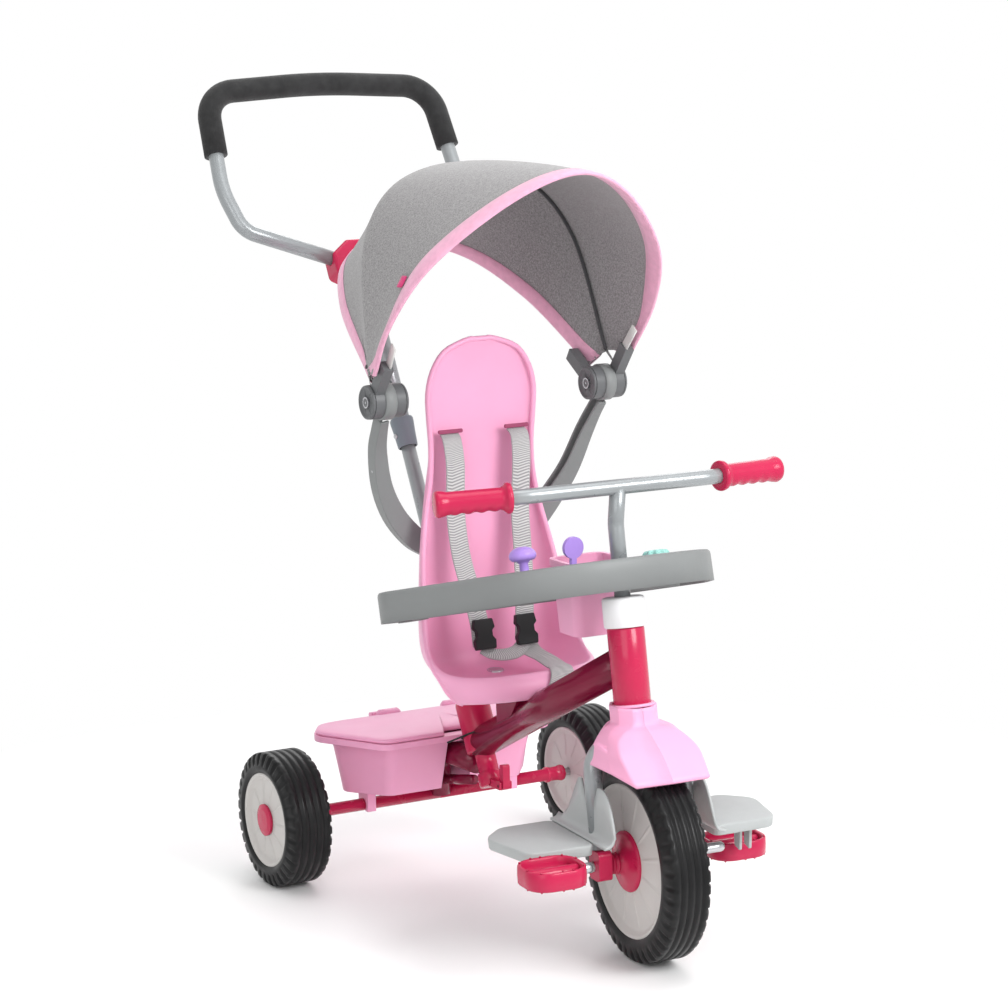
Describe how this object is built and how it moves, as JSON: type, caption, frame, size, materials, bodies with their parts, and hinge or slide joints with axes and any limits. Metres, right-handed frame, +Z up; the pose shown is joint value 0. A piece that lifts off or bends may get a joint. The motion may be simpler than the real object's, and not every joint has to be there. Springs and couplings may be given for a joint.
{
  "type": "children's tricycle",
  "caption": "Push tricycle for a toddler: bucket seat with harness, folding canopy, activity tray, steering front wheel with pedals, storage bin and parent handle.",
  "frame": {"origin": "on the floor, under the middle of the tricycle's overall box", "axes": "+Z up, -Y the way the rider faces, +X to the rider's left"},
  "size_m": [0.51, 0.9512, 1.0149],
  "materials": {
    "red_paint": "gloss",
    "dark_red_paint": "gloss",
    "grey_paint": "satin",
    "bare_steel": "brushed",
    "pink_plastic": "satin",
    "grey_plastic": "satin",
    "dark_grey_plastic": "satin",
    "blue_grey_plastic": "satin",
    "white_plastic": "satin",
    "cream_plastic": "satin",
    "red_plastic": "satin",
    "tyre": "moulded",
    "foam": "foam",
    "canopy_cloth": "woven",
    "webbing": "woven",
    "black_plastic": "satin",
    "lilac_plastic": "satin",
    "mint_plastic": "satin",
    "bow_strip": "satin"
  },
  "bodies": {
    "frame": {"main_tube": "dark_red_paint", "head_tube": "red_paint", "head_cap": "white_plastic", "handle_socket": "red_plastic", "rear_yoke": "dark_red_paint", "axle_tube": "red_paint", "rear_axle": "bare_steel", "seat_bracket": "dark_red_paint", "seat_shell": "pink_plastic", "seat_bolt": "bare_steel", "shoulder_straps": "webbing", "crotch_strap": "webbing", "harness_buckles": "black_plastic", "canopy_arm_left": "grey_plastic", "canopy_arm_right": "grey_plastic", "canopy_pins": "bare_steel", "bin_tub": "pink_plastic", "tray": "grey_plastic", "tray_cup": "pink_plastic"},
    "release_lever": {"release_lever": "red_plastic"},
    "canopy_rear": {"rear_bow_arms": "dark_grey_plastic", "rear_bow": "bow_strip"},
    "canopy_front": {"front_bow_arms": "dark_grey_plastic", "front_bow": "bow_strip", "canopy_fabric": "canopy_cloth"},
    "handle_lower": {"lower_post": "grey_paint"},
    "handle_upper": {"upper_post": "grey_paint", "post_collar": "blue_grey_plastic", "handle_hub": "red_plastic", "handle_loop": "grey_paint", "handle_grip": "foam"},
    "hub_button": {"hub_button": "red_plastic"},
    "steering": {"fork": "grey_paint", "fork_ends": "red_plastic", "handlebar": "grey_paint", "grip_left": "red_plastic", "grip_right": "red_plastic", "fender": "pink_plastic", "foot_bracket_left": "grey_plastic", "foot_bracket_right": "grey_plastic", "footrest_pins": "bare_steel"},
    "footrest_left": {"footrest_left": "grey_plastic"},
    "footrest_right": {"footrest_right": "grey_plastic"},
    "crank": {"crank": "bare_steel"},
    "pedal_left": {"pedal_left": "red_plastic"},
    "pedal_right": {"pedal_right": "red_plastic"},
    "front_wheel": {"front_tyre": "tyre", "front_wheel_discs": "cream_plastic", "front_hub_flanges": "red_plastic"},
    "rear_wheel_left": {"rear_tyre_left": "tyre", "rear_wheel_left": "cream_plastic", "hub_cap_left": "red_plastic"},
    "rear_wheel_right": {"rear_tyre_right": "tyre", "rear_wheel_right": "cream_plastic", "hub_cap_right": "red_plastic"},
    "bin_lid": {"bin_lid": "pink_plastic"},
    "toy_knob": {"toy_knob": "lilac_plastic"},
    "toy_mirror": {"toy_mirror": "lilac_plastic"},
    "toy_spinner_large": {"toy_spinner_large": "mint_plastic"},
    "toy_spinner_small": {"toy_spinner_small": "mint_plastic"}
  },
  "joints": [
    {"name": "steering", "type": "hinge", "parent": "frame", "child": "steering", "pos_m": [0, -0.31243, 0.4], "axis": [0, 0.1594, 0.9872], "range_deg": [-24.2, 35.8]},
    {"name": "front_wheel_spin", "type": "hinge", "parent": "steering", "child": "front_wheel", "pos_m": [0.00032, -0.3544, 0.12031], "axis": [0.9949, -0.0999, 0.0161], "continuous": true},
    {"name": "crank_rock", "type": "hinge", "parent": "steering", "child": "crank", "pos_m": [0.00032, -0.3544, 0.12031], "axis": [0.9949, -0.0999, 0.0161], "range_deg": [-5, 13]},
    {"name": "pedal_left_spin", "type": "hinge", "parent": "crank", "child": "pedal_left", "pos_m": [0.15884, -0.30053, 0.10026], "axis": [0.9949, -0.0999, 0.0161], "continuous": true},
    {"name": "pedal_right_spin", "type": "hinge", "parent": "crank", "child": "pedal_right", "pos_m": [-0.1582, -0.40827, 0.14036], "axis": [0.9949, -0.0999, 0.0161], "continuous": true},
    {"name": "rear_wheel_left_spin", "type": "hinge", "parent": "frame", "child": "rear_wheel_left", "pos_m": [0.2235, 0.15297, 0.0857], "axis": [1, 0, 0], "continuous": true},
    {"name": "rear_wheel_right_spin", "type": "hinge", "parent": "frame", "child": "rear_wheel_right", "pos_m": [-0.2235, 0.15297, 0.0857], "axis": [1, 0, 0], "continuous": true},
    {"name": "footrest_left_fold", "type": "hinge", "parent": "steering", "child": "footrest_left", "pos_m": [0.07747, -0.31152, 0.15352], "axis": [-0.0999, -0.995, -0.0008], "range_deg": [0, 75]},
    {"name": "footrest_right_fold", "type": "hinge", "parent": "steering", "child": "footrest_right", "pos_m": [-0.06778, -0.29693, 0.15117], "axis": [0.0999, 0.995, 0.0008], "range_deg": [0, 75]},
    {"name": "handle_turn", "type": "hinge", "parent": "frame", "child": "handle_lower", "pos_m": [0, 0.06217, 0.232], "axis": [0, 0.4602, 0.8878], "range_deg": [-24.2, 35.8]},
    {"name": "handle_height", "type": "slide", "parent": "handle_lower", "child": "handle_upper", "axis": [0, 0.4602, 0.8878], "range_m": [-0.1, 0.04]},
    {"name": "handle_button", "type": "slide", "parent": "handle_upper", "child": "hub_button", "axis": [0, 0.8878, -0.4602], "range_m": [0, 0.002], "stiffness_N_per_m": 400},
    {"name": "release_lever_turn", "type": "hinge", "parent": "frame", "child": "release_lever", "pos_m": [0, -0.02203, 0.134], "axis": [1, 0, 0], "range_deg": [0, 60]},
    {"name": "canopy_fold", "type": "hinge", "parent": "frame", "child": "canopy_rear", "pos_m": [0, -0.01503, 0.633], "axis": [1, 0, 0], "range_deg": [-12, 20]},
    {"name": "canopy_visor", "type": "hinge", "parent": "canopy_rear", "child": "canopy_front", "pos_m": [0, -0.01503, 0.633], "axis": [1, 0, 0], "range_deg": [-80, 10], "deforming": ["canopy_fabric"]},
    {"name": "bin_lid_hinge", "type": "hinge", "parent": "frame", "child": "bin_lid", "pos_m": [0, 0.20897, 0.187], "axis": [-1, 0, 0], "range_deg": [0, 95]},
    {"name": "toy_knob_press", "type": "slide", "parent": "frame", "child": "toy_knob", "axis": [0, 0.2419, 0.9703], "range_m": [0, 0.006]},
    {"name": "toy_mirror_tilt", "type": "hinge", "parent": "frame", "child": "toy_mirror", "pos_m": [-0.043, -0.26953, 0.455], "axis": [1, 0, 0], "range_deg": [-30, 30]},
    {"name": "toy_spinner_large_turn", "type": "hinge", "parent": "frame", "child": "toy_spinner_large", "pos_m": [0.07, -0.27413, 0.44632], "axis": [0, 0.2419, 0.9703], "continuous": true},
    {"name": "toy_spinner_small_turn", "type": "hinge", "parent": "frame", "child": "toy_spinner_small", "pos_m": [0.1, -0.27413, 0.44632], "axis": [0, 0.2419, 0.9703], "continuous": true}
  ],
  "couplings": [
    {"joint": "handle_turn", "follows": "steering", "ratio": 1}
  ]
}
